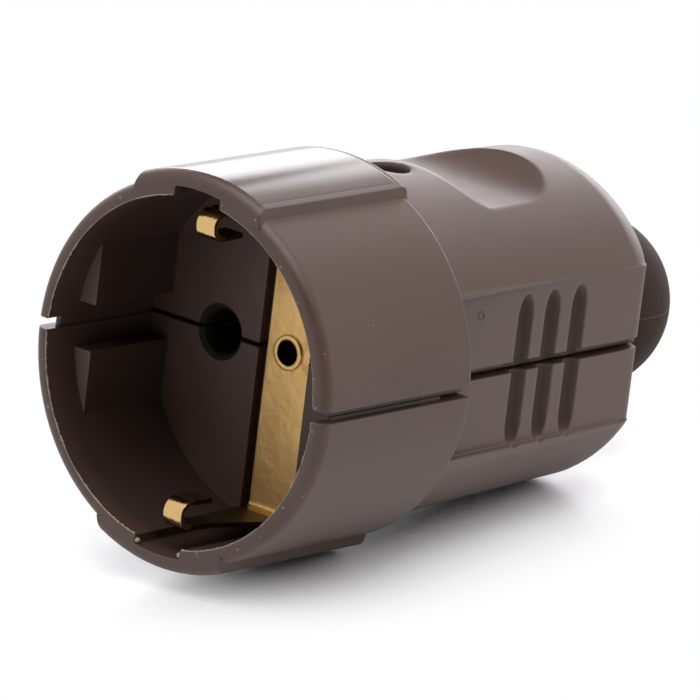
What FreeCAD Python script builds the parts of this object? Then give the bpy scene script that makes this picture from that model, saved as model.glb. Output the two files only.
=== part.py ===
"""Inline socket connector: half shells, earth strap, contact sleeves, screws, cord clamp and gland.

Frame: X to the right when looking into the well, Y from the rim plane back along the axis, Z up.
The halves part on z = 0. Lengths are millimetres.
"""

import os
import re

import FreeCAD
import Part
import Sketcher

SIZES = {
    # Collar and plug well
    "well_radius": 19.5,
    "well_depth": 17.6,
    "collar_wall": 1.75,
    "collar_length": 24.5,
    "rim_round": 1.3,
    "collar_rear_round": 0.5,
    "pad_height": 1.0,
    "pad_half_width": 8.35,
    "pad_slope_run": 0.85,
    "notch_half_width": 3.3,
    "notch_depth": 1.0,
    "side_flat_distance": 16.9,
    "side_flat_start": 4.8,
    "side_flat_gap": 2.65,
    "floor_thickness": 3.0,
    "pin_spacing": 19.0,
    "pin_hole_radius": 2.7,
    "pin_hole_chamfer": 0.55,
    # Body behind the collar
    "body_front_radius": 20.2,
    "body_rear_radius": 18.85,
    "panel_front_inset": 3.1,
    "panel_rear_inset": 2.25,
    "panel_upper_height": 9.5,
    "panel_lower_height": 8.6,
    "panel_corner_round": 1.5,
    "body_wall": 2.2,
    "side_wall": 2.5,
    "rear_wall": 5.6,
    "stern_curve_radius": 30.5,
    "stern_round": 7.5,
    "barrel_spare": 0.05,
    "panel_spare": 0.5,
    # Joint between the halves
    "joint_gap": 0.4,
    "rebate_height": 0.9,
    "rebate_depth": 1.1,
    "rim_notch_height": 1.1,
    "rim_notch_length": 2.2,
    "tongue_inset": 0.15,
    "tongue_play": 0.06,
    # Grip grooves and thumb scoop
    "grip_radius": 1.4,
    "grip_depth": 1.0,
    "grip_straight_half": 6.0,
    "grip_end_length": 2.9,
    "grip_pitch": 4.75,
    "grip_first": 13.55,
    "scoop_front_radius": 3.0,
    "scoop_rear_radius": 15.0,
    "scoop_flat_length": 6.0,
    "scoop_depth": 2.8,
    "scoop_behind_screw": 7.15,
    "scoop_wall": 2.0,
    # Earth strap and post
    "strap_width": 6.2,
    "strap_thickness": 0.55,
    "strap_sink": 0.8,
    "channel_side_play": 0.6,
    "leg_wall_gap": 0.5,
    "leg_lean": 1.15,
    "curl_front": 1.9,
    "curl_height": 3.3,
    "curl_return": 4.9,
    "curl_lift": 0.2,
    "curl_width": 2.6,
    "leg_taper_start": 2.2,
    "leg_taper_end": 0.6,
    "bend_inner_radius": 0.6,
    "post_radius": 3.1,
    "post_length": 8.0,
    "post_neck_radius": 1.75,
    "post_lip_radius": 2.0,
    "post_lip_height": 0.3,
    "post_bore_radius": 1.45,
    "post_bore_depth": 2.6,
    "post_wire_radius": 1.4,
    # Contact sleeves and springs
    "sleeve_bore_radius": 2.45,
    "sleeve_wall": 0.7,
    "sleeve_length": 26.0,
    "sleeve_seat": 1.1,
    "sleeve_bore_depth": 18.0,
    "sleeve_slot_width": 0.6,
    "sleeve_slot_length": 11.5,
    "block_radius": 3.7,
    "block_length": 12.0,
    "block_wire_radius": 1.7,
    "block_wire_depth": 6.4,
    "block_screw_inset": 3.3,
    "block_flat_setback": 0.5,
    "spring_setback": 4.6,
    "spring_length": 3.0,
    "spring_thickness": 0.5,
    "spring_gap": 1.4,
    "rib_thickness": 2.0,
    "rib_setback": 0.8,
    "rib_wire_half": 4.6,
    # Screws and nut
    "terminal_thread_radius": 1.45,
    "terminal_thread_length": 2.6,
    "terminal_head_radius": 2.3,
    "terminal_head_height": 1.8,
    "terminal_flat_depth": 0.5,
    "screw_edge_room": 0.4,
    "slot_width": 0.6,
    "slot_depth": 0.8,
    "housing_thread_radius": 1.5,
    "housing_head_radius": 2.3,
    "housing_head_height": 2.2,
    "housing_head_seat": 9.0,
    "housing_hole_play": 0.2,
    "boss_radius": 4.5,
    "boss_post_gap": 0.4,
    "nut_circumradius": 3.15,
    "nut_height": 2.4,
    "nut_seat": 13.0,
    "thread_play": 0.05,
    # Cord clamp and gland
    "wire_room": 2.0,
    "clamp_length": 5.0,
    "clamp_half_span": 12.0,
    "clamp_thickness": 2.4,
    "clamp_screw_offset": 8.5,
    "clamp_post_radius": 3.0,
    "clamp_post_drop": 0.5,
    "clamp_arch_wall": 1.9,
    "saddle_inset": 0.7,
    "clamp_thread_radius": 1.4,
    "clamp_thread_length": 10.0,
    "clamp_head_radius": 2.5,
    "clamp_head_height": 1.7,
    "clamp_hole_play": 0.2,
    "cord_radius": 4.1,
    "tail_room": 3.9,
    "flange_radius": 9.0,
    "flange_thickness": 2.2,
    "gland_neck_radius": 5.9,
    "ball_radius": 10.4,
    "ball_behind_body": 5.1,
    "gland_mouth_radius": 5.4,
    # Fits between pieces
    "seat_play": 0.15,
    "hole_play": 0.05,
    # How far a cutting tool reaches past what it cuts
    "overrun": 1.0,
}

# What follows from the sizes above, as formulas of the same plain words
FORMULAS = {
    "collar_radius": "well_radius + collar_wall",
    "pad_radius": "collar_radius + pad_height",
    "panel_front_half": "body_front_radius - panel_front_inset",
    "panel_rear_half": "body_rear_radius - panel_rear_inset",
    "pin_offset": "pin_spacing / 2",
    "floor_back": "well_depth + floor_thickness",
    "strap_front": "well_depth + strap_sink",
    "strap_back": "strap_front + strap_thickness",
    "leg_outer": "well_radius - leg_wall_gap",
    "leg_inner": "leg_outer - strap_thickness",
    "curl_outer": "leg_outer - leg_lean",
    "curl_tip": "curl_outer - curl_height",
    "post_back": "strap_back + post_length",
    "post_screw_y": "post_back - terminal_head_radius - screw_edge_room",
    "post_seat": "post_radius - terminal_flat_depth",
    "sleeve_front": "floor_back - sleeve_seat",
    "sleeve_radius": "sleeve_bore_radius + sleeve_wall",
    "block_back": "sleeve_front + sleeve_length",
    "block_front": "block_back - block_length",
    "block_screw_y": "block_back - block_screw_inset",
    "block_seat": "block_radius - terminal_flat_depth",
    "rib_front": "block_front + rib_setback",
    "rib_back": "rib_front + rib_thickness",
    "screw_y": "post_back + boss_post_gap + boss_radius",
    "housing_thread_length": "housing_head_seat + nut_seat + nut_height",
    "scoop_y": "screw_y + scoop_behind_screw",
    "scoop_floor": "(body_front_radius + body_rear_radius) / 2 - scoop_depth",
    "clamp_front": "block_back + wire_room",
    "clamp_middle": "clamp_front + clamp_length / 2",
    "clamp_back": "clamp_front + clamp_length",
    "clamp_top": "clamp_thickness - clamp_post_drop",
    "flange_front": "clamp_back + tail_room",
    "flange_back": "flange_front + flange_thickness",
    "cavity_end": "flange_back + seat_play",
    "body_end": "cavity_end + rear_wall",
    "ball_middle": "body_end + ball_behind_body",
    "ball_end": "ball_middle + sqrt(ball_radius ^ 2 - gland_mouth_radius ^ 2)",
    "grip_start": "collar_length + grip_first",
    "far": "pad_radius * 2",
}

ALONG_X = FreeCAD.Rotation(FreeCAD.Vector(0, 1, 0), 90)
ALONG_Y = FreeCAD.Rotation(FreeCAD.Vector(1, 0, 0), -90)
ALONG_Z = FreeCAD.Rotation()
RADIAL_UP = FreeCAD.Rotation(FreeCAD.Vector(1, 0, 0), 90)
RADIAL_DOWN = FreeCAD.Rotation(FreeCAD.Vector(1, 0, 0), -90)

# Lengths that differ by less than this are the same
SAME = 1e-6

document = FreeCAD.newDocument("inline_socket")
sheet = document.addObject("Spreadsheet::Sheet", "sizes")
for row, (alias, number) in enumerate(SIZES.items(), start=1):
    sheet.set(f"A{row}", alias)
    sheet.set(f"B{row}", str(number))
    sheet.setAlias(f"B{row}", alias)
document.recompute()


def expression(text):
    """Spell a formula of plain words as an expression on the sheet."""

    def spell(match):
        word = match.group()
        if word in FORMULAS:
            return "(" + expression(FORMULAS[word]) + ")"
        return "sizes." + word if word in SIZES else word

    return re.sub(r"[a-z][a-z_]+", spell, text)


def value(text):
    """Work a formula out as a number, from the sheet's cells."""
    return float(sheet.evalExpression(expression(text)))


def primitive(kind, name, turn, at, **lengths):
    """Add one Part primitive whose place and lengths are bound to the sheet."""
    thing = document.addObject("Part::" + kind, name)
    thing.Placement = FreeCAD.Placement(FreeCAD.Vector(), turn)
    for axis, text in zip("xyz", at):
        thing.setExpression("Placement.Base." + axis, expression(text))
    for length, text in lengths.items():
        thing.setExpression(length, expression(text))
    return thing


def box(name, x, y, z):
    """Add a box between the low and high ends given for each axis."""
    corner = (x[0], y[0], z[0])
    length, width, height = [f"({high}) - ({low})" for low, high in (x, y, z)]
    return primitive("Box", name, ALONG_Z, corner, Length=length, Width=width, Height=height)


def rod_x(name, radius, low, high, y="0", z="0"):
    """Add a cylinder along X."""
    return primitive("Cylinder", name, ALONG_X, (low, y, z), Radius=radius, Height=f"({high}) - ({low})")


def rod_y(name, radius, low, high, x="0", z="0"):
    """Add a cylinder along Y."""
    return primitive("Cylinder", name, ALONG_Y, (x, low, z), Radius=radius, Height=f"({high}) - ({low})")


def rod_z(name, radius, low, high, x="0", y="0"):
    """Add a cylinder along Z."""
    return primitive("Cylinder", name, ALONG_Z, (x, y, low), Radius=radius, Height=f"({high}) - ({low})")


def cone_y(name, front_radius, rear_radius, low, high, x="0"):
    """Add a cone frustum along Y."""
    return primitive(
        "Cone", name, ALONG_Y, (x, low, "0"),
        Radius1=front_radius, Radius2=rear_radius, Height=f"({high}) - ({low})",
    )


def taper_box(name, half_front, half_rear, half_height, low, high):
    """Add a box along Y whose half width runs from one value to another."""
    return primitive(
        "Wedge", name, ALONG_Z, ("0", "0", "0"),
        Xmin=f"-({half_front})", Xmax=half_front, X2min=f"-({half_rear})", X2max=half_rear,
        Ymin=low, Ymax=high,
        Zmin=f"-({half_height})", Zmax=half_height, Z2min=f"-({half_height})", Z2max=half_height,
    )


def join(name, *things):
    """Fuse several things into one."""
    fused = document.addObject("Part::MultiFuse", name)
    fused.Shapes = list(things)
    return fused


def overlap(name, *things):
    """Keep what several things share."""
    shared = document.addObject("Part::MultiCommon", name)
    shared.Shapes = list(things)
    return shared


def cut(name, base, *tools):
    """Take one or more tools away from a base."""
    result = document.addObject("Part::Cut", name)
    result.Base = base
    result.Tool = tools[0] if len(tools) == 1 else join(name + "_tools", *tools)
    return result


def group(name, things):
    """Keep several separate solids together as one piece."""
    compound = document.addObject("Part::Compound", name)
    compound.Links = list(things)
    return compound


def rounded(name, base, radius, chosen):
    """Fillet the edges of a base that a rule picks."""
    document.recompute()
    fillet = document.addObject("Part::Fillet", name)
    fillet.Base = base
    size = value(radius)
    edges = enumerate(base.Shape.Edges, start=1)
    fillet.Edges = [(number, size, size) for number, edge in edges if chosen(edge)]
    return fillet


def at_y(text):
    """Make a rule that picks closed or straight edges lying in one plane across the axis."""
    place = value(text)
    return lambda edge: edge.BoundBox.YLength < SAME and abs(edge.BoundBox.YMin - place) < SAME


def draw(body, name, role, outlines):
    """Add a sketch of closed outlines to a body, with every corner bound to the sheet."""
    sketch = body.newObject("Sketcher::SketchObject", name)
    plane = next(feature for feature in body.Origin.OriginFeatures if feature.Role == role)
    sketch.AttachmentSupport = [(plane, "")]
    sketch.MapMode = "FlatFace"
    for corners in outlines:
        points = [FreeCAD.Vector(value(across), value(along), 0) for across, along in corners]
        first = sketch.GeometryCount
        for start, end in zip(points, points[1:] + points[:1]):
            sketch.addGeometry(Part.LineSegment(start, end), False)
        for number, (across, along) in enumerate(corners):
            line = first + number
            following = first + (number + 1) % len(corners)
            sketch.addConstraint(Sketcher.Constraint("Coincident", line, 2, following, 1))
            for kind, text in (("DistanceX", across), ("DistanceY", along)):
                datum = sketch.addConstraint(Sketcher.Constraint(kind, -1, 1, line, 1, value(text)))
                sketch.setExpression(f"Constraints[{datum}]", expression(text))
    return sketch


def turned(name, role, corners):
    """Turn an outline of (radius, place along the axis) round the sketch's upright axis."""
    body = document.addObject("PartDesign::Body", name)
    sketch = draw(body, name + "_outline", role, [corners])
    spin = body.newObject("PartDesign::Revolution", name + "_turning")
    spin.Profile = sketch
    spin.ReferenceAxis = (sketch, ["V_Axis"])
    spin.Angle = 360
    return body


def slotted_screw(name, kind, x, y, seat):
    """Make one slotted screw standing head up, its head's underside at the seat."""
    head_top = f"{seat} + {kind}_head_height"
    tip = f"{seat} - {kind}_thread_length"
    head = rod_z(name + "_head", f"{kind}_head_radius", seat, head_top, x, y)
    shank = rod_z(name + "_shank", f"{kind}_thread_radius", tip, head_top, x, y)
    slot = box(
        name + "_slot",
        (f"{x} - far", f"{x} + far"),
        (f"{y} - slot_width / 2", f"{y} + slot_width / 2"),
        (f"{head_top} - slot_depth", f"{head_top} + overrun"),
    )
    return cut(name, join(name + "_blank", head, shank), slot)


def make_outside():
    """Make the outside form of both halves together: collar, pads and body with side panels."""
    collar_rod = rod_y("collar_rod", "collar_radius", "0", "collar_length")
    collar_front = rounded("collar_front_round", collar_rod, "rim_round", at_y("0"))
    collar = rounded("collar", collar_front, "collar_rear_round", at_y("collar_length"))
    pad_rod = rod_y("pad_rod", "pad_radius", "0", "collar_length")
    pad_front = rounded("pad_front_round", pad_rod, "rim_round", at_y("0"))
    pad_disc = rounded("pad_disc", pad_front, "collar_rear_round", at_y("collar_length"))
    foot = "pad_half_width + pad_slope_run"
    along_up = {"Zmin": "-collar_length", "Zmax": "0", "Z2min": "-collar_length", "Z2max": "0"}
    along_down = {"Zmin": "0", "Zmax": "collar_length", "Z2min": "0", "Z2max": "collar_length"}
    # The sloping sides run from the collar's own surface up to the pad's crown.
    foot_height = "sqrt(collar_radius ^ 2 - pad_half_width ^ 2) - pad_height"
    profile = {
        "Xmin": f"-({foot})", "Xmax": foot,
        "X2min": "-pad_half_width", "X2max": "pad_half_width",
        "Ymin": foot_height, "Ymax": "pad_radius",
    }
    middle = ("0", "0", "0")
    pad_up = primitive("Wedge", "pad_up", RADIAL_UP, middle, **profile, **along_up)
    pad_down = primitive("Wedge", "pad_down", RADIAL_DOWN, middle, **profile, **along_down)
    pads = overlap("pads", pad_disc, join("pad_sectors", pad_up, pad_down))

    barrel = cone_y("barrel", "body_front_radius", "body_rear_radius", "well_depth", "body_end")
    length = ("well_depth", "body_end")
    panel_plates = taper_box("panel_plates", "panel_front_half", "panel_rear_half", "far", *length)
    panel_band = box("panel_band", ("-far", "far"), length, ("-panel_lower_height", "panel_upper_height"))
    panels = overlap("panels", panel_plates, panel_band)
    stern_rod = rod_z("stern_rod", "stern_curve_radius", "-far", "far", y="body_end - stern_curve_radius")
    domed_barrel = overlap("domed_barrel", barrel, make_dome("barrel_dome", "barrel_spare"), stern_rod)
    round_sides = cut("round_sides", domed_barrel, panel_band)
    domed_panels = overlap("domed_panels", panels, make_dome("panel_dome", "panel_spare"))
    stern_block = overlap("stern_block", stern_rod, panel_plates)
    stern = rounded("stern", stern_block, "panel_corner_round", stands_at_stern)
    flat_sides = overlap("flat_sides", domed_panels, stern)
    return join("outside", collar, pads, round_sides, flat_sides)


def make_dome(name, spare):
    """Make the cone with a rounded rear edge that limits the stern, a little wider than the body."""
    front = f"body_front_radius + {spare}"
    rear = f"body_rear_radius + {spare}"
    cone = cone_y(name + "_cone", front, rear, "well_depth", "body_end")
    return rounded(name, cone, "stern_round", at_y("body_end"))


def stands_at_stern(edge):
    """Pick the two upright edges where the flat sides meet the curved stern."""
    bounds = edge.BoundBox
    upright = bounds.XLength < SAME and bounds.YLength < SAME
    return upright and bounds.YMin > value("clamp_middle")


def make_hollows():
    """Make what is taken out around the plug: well, wall notches, strap channel and pin holes."""
    everywhere = ("-far", "far")
    depth = ("0", "well_depth")
    mouth = rod_y("well_mouth", "well_radius", "-overrun", "side_flat_start")
    deep = rod_y("well_deep", "well_radius", "side_flat_start - overrun", "well_depth")
    between = box("between_flats", ("-side_flat_distance", "side_flat_distance"), depth, everywhere)
    guide = box("side_guides", everywhere, depth, ("-side_flat_gap", "side_flat_gap"))
    well = overlap("well_between", deep, join("well_sections", between, guide))
    reach = "well_radius + notch_depth"
    notch_length = ("-overrun", "well_depth")
    notch_rod = rod_y("notch_rod", reach, *notch_length)
    notch_box = box("notch_box", ("-notch_half_width", "notch_half_width"), notch_length, everywhere)
    notches = overlap("notches", notch_rod, notch_box)
    channel_half = "strap_width / 2 + channel_side_play"
    channel_length = ("well_depth - overrun", "strap_back")
    channel_rod = rod_y("channel_rod", reach, *channel_length)
    channel_box = box("channel_box", (f"-({channel_half})", channel_half), channel_length, everywhere)
    channel = overlap("channel", channel_rod, channel_box)
    hollows = [mouth, well, notches, channel]
    behind_floor = "floor_back + overrun"
    hollows.append(rod_y("post_hole", "post_radius + seat_play", "strap_front", behind_floor))
    for side, x in (("left", "-pin_offset"), ("right", "pin_offset")):
        hole = "pin_hole_radius"
        hollows.append(rod_y(side + "_pin_hole", hole, "well_depth - overrun", "floor_back", x))
        wide = f"{hole} + pin_hole_chamfer"
        chamfer_end = "well_depth + pin_hole_chamfer"
        hollows.append(cone_y(side + "_pin_chamfer", wide, hole, "well_depth", chamfer_end, x))
        seat = "sleeve_radius + seat_play"
        hollows.append(rod_y(side + "_sleeve_seat", seat, "sleeve_front - seat_play", behind_floor, x))
    return hollows


def make_cavity():
    """Make the hollow behind the well floor, less the ribs, bosses and posts that stand in it."""
    everywhere = ("-far", "far")
    length = ("floor_back", "cavity_end")
    front, rear = ("body_front_radius - body_wall", "body_rear_radius - body_wall")
    room = cone_y("room_barrel", front, rear, *length)
    front, rear = (f"panel_{end}_half - side_wall" for end in ("front", "rear"))
    room_flats = taper_box("room_flats", front, rear, "far", *length)
    wiring_room = overlap("wiring_room", room, room_flats)
    contact_rooms = [
        rod_y(side + "_contact_room", "block_radius + seat_play", "floor_back", "block_back + overrun", x)
        for side, x in (("left", "-pin_offset"), ("right", "pin_offset"))
    ]
    space = join("space", wiring_room, *contact_rooms)
    rib =box("rib_plate", everywhere, ("rib_front", "rib_back"), everywhere)
    through_rib = ("rib_front - overrun", "rib_back + overrun")
    wires = box("wire_way", ("-rib_wire_half", "rib_wire_half"), through_rib, everywhere)
    seats = [
        rod_y(side + "_block_seat", "block_radius + seat_play", *through_rib, x)
        for side, x in (("left", "-pin_offset"), ("right", "pin_offset"))
    ]
    standing = [cut("rib", rib, wires, *seats)]
    standing.append(rod_z("boss", "boss_radius", "-far", "far", y="screw_y"))
    standing.append(make_scoop("scoop_back", "scoop_wall"))
    below_bar = ("-far", "-clamp_post_drop")
    for side, x in (("left", "-clamp_screw_offset"), ("right", "clamp_screw_offset")):
        standing.append(rod_z(side + "_clamp_post", "clamp_post_radius", *below_bar, x, "clamp_middle"))
    saddle = box(
        "saddle",
        ("-clamp_screw_offset", "clamp_screw_offset"),
        ("clamp_front + saddle_inset", "clamp_back - saddle_inset"),
        below_bar,
    )
    trough = rod_y("saddle_trough", "cord_radius", "clamp_front", "clamp_back")
    standing.append(cut("saddle_rib", saddle, trough))
    return cut("cavity", space, join("standing", *standing))


def make_scoop(name, spare):
    """Make the thumb scoop: a round front, a flat floor and a long rising rear, all grown by a spare."""
    across = ("-far", "far")
    turn = "scoop_y + scoop_flat_length"
    front_axis, rear_axis = ("scoop_floor + scoop_front_radius", "scoop_floor + scoop_rear_radius")
    front = rod_x(name + "_front", f"scoop_front_radius + {spare}", *across, "scoop_y", front_axis)
    flat = box(name + "_flat", across, ("scoop_y", turn), (f"scoop_floor - {spare}", "far"))
    rear = rod_x(name + "_rear", f"scoop_rear_radius + {spare}", *across, turn, rear_axis)
    return join(name, front, flat, rear)


def make_outer_cuts():
    """Make what is cut in from outside: grips, scoop, screw holes, nut pocket and gland seat."""
    cuts = [make_scoop("scoop", "0")]
    pointed = {"Radius1": "grip_end_length", "Radius2": "grip_radius", "Radius3": "grip_radius"}
    for side, sign in (("left", "-"), ("right", "")):
        for number in range(3):
            y = f"grip_start + {number} * grip_pitch"
            share = f"(({y}) - well_depth) / (body_end - well_depth)"
            surface = f"(panel_front_half + (panel_rear_half - panel_front_half) * {share})"
            x = f"{sign}({surface} + grip_radius - grip_depth)"
            name = f"{side}_grip_{number + 1}"
            low, high = ("-grip_straight_half", "grip_straight_half")
            straight = rod_z(name + "_middle", "grip_radius", low, high, x, y)
            ends = [
                primitive("Ellipsoid", name + end, ALONG_Z, (x, y, z), **pointed)
                for end, z in (("_top", high), ("_bottom", low))
            ]
            cuts.append(join(name, straight, *ends))
    clearance = "housing_thread_radius + housing_hole_play"
    cuts.append(rod_z("screw_way", clearance, "-far", "far", y="screw_y"))
    head_way = "housing_head_radius + housing_hole_play"
    cuts.append(rod_z("screw_head_way", head_way, "housing_head_seat", "far", y="screw_y"))
    cuts.append(
        primitive(
            "Prism", "nut_pocket", ALONG_Z, ("0", "screw_y", "-far"),
            Circumradius="nut_circumradius + seat_play", Height="far - nut_seat",
        )
    )
    for side, x in (("left", "-clamp_screw_offset"), ("right", "clamp_screw_offset")):
        pilot = "clamp_thread_radius + thread_play"
        depth = "clamp_top - clamp_thread_length - overrun"
        cuts.append(rod_z(side + "_clamp_pilot", pilot, depth, "0", x, "clamp_middle"))
    neck = "gland_neck_radius + seat_play"
    cuts.append(rod_y("gland_way", neck, "cavity_end - overrun", "body_end + overrun"))
    ball = "ball_radius + seat_play"
    cuts.append(primitive("Sphere", "ball_seat", ALONG_Z, ("0", "ball_middle", "0"), Radius=ball))
    return cuts


def make_shells():
    """Split the hollowed housing into its two halves."""
    housing = cut("housing", make_outside(), *make_hollows(), make_cavity(), *make_outer_cuts())
    everywhere = ("-far", "far")
    length = ("-overrun", "body_end + overrun")
    upper_room = box("upper_room", everywhere, length, ("joint_gap / 2", "far"))
    boss_foot = rod_z("boss_foot", "boss_radius", "0", "joint_gap", y="screw_y")
    upper_half = overlap("upper_half", housing, join("upper_keep", upper_room, boss_foot))
    rebate_slab = box("rebate_slab", everywhere, length, ("0", "joint_gap / 2 + rebate_height"))
    inner_collar = rod_y("inner_collar", "collar_radius - rebate_depth", "-overrun * 2", "collar_length")
    front, rear = (f"panel_{end}_half - rebate_depth" for end in ("front", "rear"))
    inner_body = taper_box("inner_body", front, rear, "far", "well_depth", "body_end + overrun * 2")
    rebate = cut("rebate", rebate_slab, inner_collar, inner_body)
    rim_notch = box("rim_notch", everywhere, ("-overrun", "rim_notch_length"), ("0", "rim_notch_height"))
    upper = cut("upper_shell", upper_half, rebate, rim_notch)
    lower_room = box("lower_room", everywhere, length, ("-far", "-joint_gap / 2"))
    boss_head = rod_z("boss_head", "boss_radius", "-joint_gap", "0", y="screw_y")
    lower_half = overlap("lower_half", housing, join("lower_keep", lower_room, boss_head))
    tongue_length = ("rim_notch_length", "floor_back")
    tongue_height = ("-joint_gap", "joint_gap / 2 - tongue_play")
    near, out = ("well_radius + tongue_inset", "collar_radius - rebate_depth")
    left_tongue = box("left_tongue", (f"-({out})", f"-({near})"), tongue_length, tongue_height)
    right_tongue = box("right_tongue", (near, out), tongue_length, tongue_height)
    lower = join("lower_shell", lower_half, left_tongue, right_tongue)
    return [upper, lower]


def make_earth_strap():
    """Bend the earth strap: a strip across the floor, legs along the wall and curls at the rim."""
    inner_front = "curl_front + strap_thickness"
    curl_end = "curl_front + curl_return"
    upper = [
        (curl_end, "curl_tip + strap_thickness + curl_lift"),
        (inner_front, "curl_tip + strap_thickness"),
        (inner_front, "curl_outer - strap_thickness"),
        ("strap_front", "leg_inner"),
    ]
    outer = [
        ("strap_back", "leg_outer"),
        ("curl_front", "curl_outer"),
        ("curl_front", "curl_tip"),
        (curl_end, "curl_tip + curl_lift"),
    ]
    mirrored_inner = [(along, f"-({height})") for along, height in reversed(upper)]
    mirrored_outer = [(along, f"-({height})") for along, height in reversed(outer)]
    outline = upper + mirrored_inner + mirrored_outer + outer
    strip = draw_body("earth_strap", "YZ_Plane", outline, "strap_width")
    strap_half = "strap_width / 2"
    curl_half = "curl_width / 2"
    right = [
        (curl_half, "-overrun"),
        (f"{strap_half} + overrun", "-overrun"),
        (f"{strap_half} + overrun", "strap_front - leg_taper_start"),
        (strap_half, "strap_front - leg_taper_start"),
        (curl_half, f"{curl_end} + leg_taper_end"),
    ]
    left = [(f"-({across})", along) for across, along in right]
    sides = strip.newObject("PartDesign::Pocket", "leg_sides")
    sides.Profile = draw(strip, "leg_side_outline", "XY_Plane", [right, left])
    sides.Type = "ThroughAll"
    sides.SideType = "Symmetric"
    hole = strip.newObject("PartDesign::Pocket", "post_opening")
    opening = "post_neck_radius + hole_play"
    hole.Profile = draw_circle(strip, "post_opening_outline", "XZ_Plane", opening)
    hole.Type = "ThroughAll"
    hole.SideType = "Symmetric"
    document.recompute()
    # A sliver of straight edge stays between the two fillets of each curl.
    curl_radius = "curl_height / 2 - 0.01"
    outer_edges = ("curl_outer", "curl_tip")
    inner_edges = ("curl_outer - strap_thickness", "curl_tip + strap_thickness")
    bend_edges(strip, "curl_round", curl_radius, "curl_front", outer_edges)
    bend_edges(strip, "curl_hollow", f"{curl_radius} - strap_thickness", inner_front, inner_edges)
    bend_radius = "bend_inner_radius + strap_thickness"
    bend_edges(strip, "bend_inside", "bend_inner_radius", "strap_front", ("leg_inner",))
    bend_edges(strip, "bend_outside", bend_radius, "strap_back", ("leg_outer",))
    return strip


def draw_body(name, role, corners, width):
    """Pad a closed outline evenly to both sides of its plane."""
    body = document.addObject("PartDesign::Body", name)
    pad = body.newObject("PartDesign::Pad", name + "_pad")
    pad.Profile = draw(body, name + "_outline", role, [corners])
    pad.SideType = "Symmetric"
    pad.setExpression("Length", expression(width))
    return body


def draw_circle(body, name, role, radius):
    """Add a sketch of one circle about the origin, its radius bound to the sheet."""
    sketch = body.newObject("Sketcher::SketchObject", name)
    plane = next(feature for feature in body.Origin.OriginFeatures if feature.Role == role)
    sketch.AttachmentSupport = [(plane, "")]
    sketch.MapMode = "FlatFace"
    sketch.addGeometry(Part.Circle(FreeCAD.Vector(), FreeCAD.Vector(0, 0, 1), value(radius)), False)
    sketch.addConstraint(Sketcher.Constraint("Coincident", 0, 3, -1, 1))
    datum = sketch.addConstraint(Sketcher.Constraint("Radius", 0, value(radius)))
    sketch.setExpression(f"Constraints[{datum}]", expression(radius))
    return sketch


def bend_edges(body, name, radius, y, heights):
    """Fillet the cross edges of a body at one place along Y, at heights above and below the axis."""
    place = value(y)
    levels = [value(height) for height in heights]
    picked = []
    for number, edge in enumerate(body.Shape.Edges, start=1):
        bounds = edge.BoundBox
        across = bounds.YLength < SAME and bounds.ZLength < SAME
        at_place = abs(bounds.YMin - place) < SAME
        at_level = any(abs(abs(bounds.ZMin) - level) < SAME for level in levels)
        if across and at_place and at_level:
            picked.append(f"Edge{number}")
    fillet = body.newObject("PartDesign::Fillet", name)
    fillet.Base = (body.Tip if body.Tip != fillet else fillet.BaseFeature, picked)
    fillet.setExpression("Radius", expression(radius))
    body.Tip = fillet
    document.recompute()


def make_earth_post():
    """Turn the earth post: lip and neck through the strap, then a body with wire and screw holes."""
    blank = turned("earth_post_blank", "XY_Plane", [
        ("post_bore_radius", "strap_front - post_lip_height"),
        ("post_lip_radius", "strap_front - post_lip_height"),
        ("post_lip_radius", "strap_front"),
        ("post_neck_radius", "strap_front"),
        ("post_neck_radius", "strap_back"),
        ("post_radius", "strap_back"),
        ("post_radius", "post_back"),
        ("0", "post_back"),
        ("0", "strap_front + post_bore_depth"),
        ("post_bore_radius", "strap_front + post_bore_depth"),
    ])
    wire_hole = rod_x("post_wire_hole", "post_wire_radius", "-far", "far", "post_screw_y")
    thread = "terminal_thread_radius + thread_play"
    screw_hole = rod_z("post_screw_hole", thread, "0", "far", y="post_screw_y")
    flat_length = ("strap_back + floor_thickness", "post_back + overrun")
    flat = box("post_flat", ("-far", "far"), flat_length, ("post_seat", "far"))
    return cut("earth_post", blank, wire_hole, screw_hole, flat)


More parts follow.
